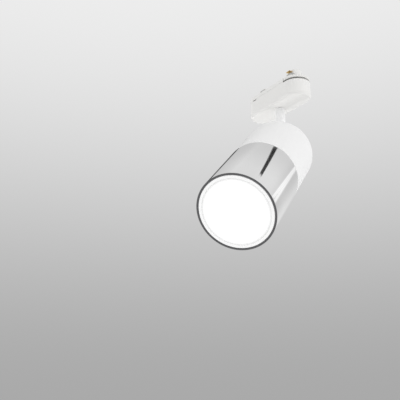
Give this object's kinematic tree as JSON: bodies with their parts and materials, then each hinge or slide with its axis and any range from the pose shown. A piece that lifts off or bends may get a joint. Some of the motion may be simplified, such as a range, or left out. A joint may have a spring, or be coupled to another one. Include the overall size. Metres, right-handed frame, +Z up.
{
  "type": "track spotlight",
  "caption": "Ceiling track spotlight: a long round white and chrome head with a flat lit disc lamp, tilting and turning on a short stem under a round-ended track adapter.",
  "frame": {"origin": "where the stem's axis meets the plane of the track's underside, in the middle of the track's slot", "axes": "+X along the track towards the adapter's dial end, +Z up; the head is drawn panned 59 degrees from +X towards -Y and tilted 50 degrees up from straight down"},
  "size_m": [0.1605, 0.1762, 0.2444],
  "materials": {
    "adapter_plastic": "fine satin moulded white plastic",
    "terminal_plastic": "moulded white plastic",
    "white_coat": "white satin powder coat on aluminium",
    "chrome": "chrome-plated aluminium tube, mirror polished",
    "dark_chrome": "polished dark edge",
    "bare_aluminium": "turned, bare",
    "steel": "zinc-plated steel",
    "brass": "bare brass",
    "rubber": "black, matte",
    "cable_sheath": "white sheath",
    "lead_brown": "brown insulation",
    "lead_blue": "blue insulation",
    "lamp_plastic": "white moulded plastic",
    "diffuser": "frosted white, lit from behind",
    "circuit_board": "green solder mask",
    "led_chip": "yellow phosphor"
  },
  "bodies": {
    "adapter": {"adapter_body": "adapter_plastic", "adapter_cover": "adapter_plastic", "cover_screws": "steel", "earth_clip": "steel", "terminal_block": "terminal_plastic", "terminal_screws": "brass", "swivel_bush": "adapter_plastic", "live_lead": "lead_brown", "neutral_lead": "lead_blue"},
    "lock": {"lock_dial": "adapter_plastic", "lock_lug": "steel", "live_contact": "brass", "neutral_contact": "brass", "dial_clip": "steel"},
    "stem": {"stem_tube": "white_coat", "swivel_nut": "steel", "stop_washer": "steel", "swivel_washer": "rubber", "stem_cable": "cable_sheath", "knuckle_upper": "white_coat"},
    "head": {"knuckle_lower": "white_coat", "tilt_screw": "steel", "tilt_nut": "steel", "spring_washer": "steel", "friction_washer": "rubber", "knuckle_screws": "steel", "rear_housing": "white_coat", "cable_grommet": "rubber", "joining_ring": "bare_aluminium", "chrome_sleeve": "chrome", "front_bezel": "dark_chrome", "holder_plate": "steel", "tie_rods": "steel", "tie_rod_nuts": "steel", "lampholder": "lamp_plastic", "holder_contacts": "brass", "holder_screws": "steel", "head_live_lead": "lead_brown", "head_neutral_lead": "lead_blue"},
    "lamp": {"lamp_base": "lamp_plastic", "lamp_pins": "steel", "lamp_diffuser": "diffuser", "led_board": "circuit_board", "leds": "led_chip", "lamp_driver": "circuit_board"}
  },
  "joints": [
    {"name": "pan", "type": "hinge", "parent": "adapter", "child": "stem", "pos_m": [0, 0, -0.026], "axis": [0, 0, 1], "range_deg": [-105.85, 224.15]},
    {"name": "tilt", "type": "hinge", "parent": "stem", "child": "head", "pos_m": [0, 0, -0.0805], "axis": [-0.8585, -0.5128, 0], "range_deg": [-50.15, 39.85]},
    {"name": "lock_turn", "type": "hinge", "parent": "adapter", "child": "lock", "pos_m": [0.032, 0, 0], "axis": [0, 0, 1], "range_deg": [0, 90]},
    {"name": "lamp_twist", "type": "hinge", "parent": "head", "child": "lamp", "pos_m": [0, 0, -0.0805], "axis": [0.3937, -0.6591, -0.6408], "range_deg": [0, 15]}
  ]
}
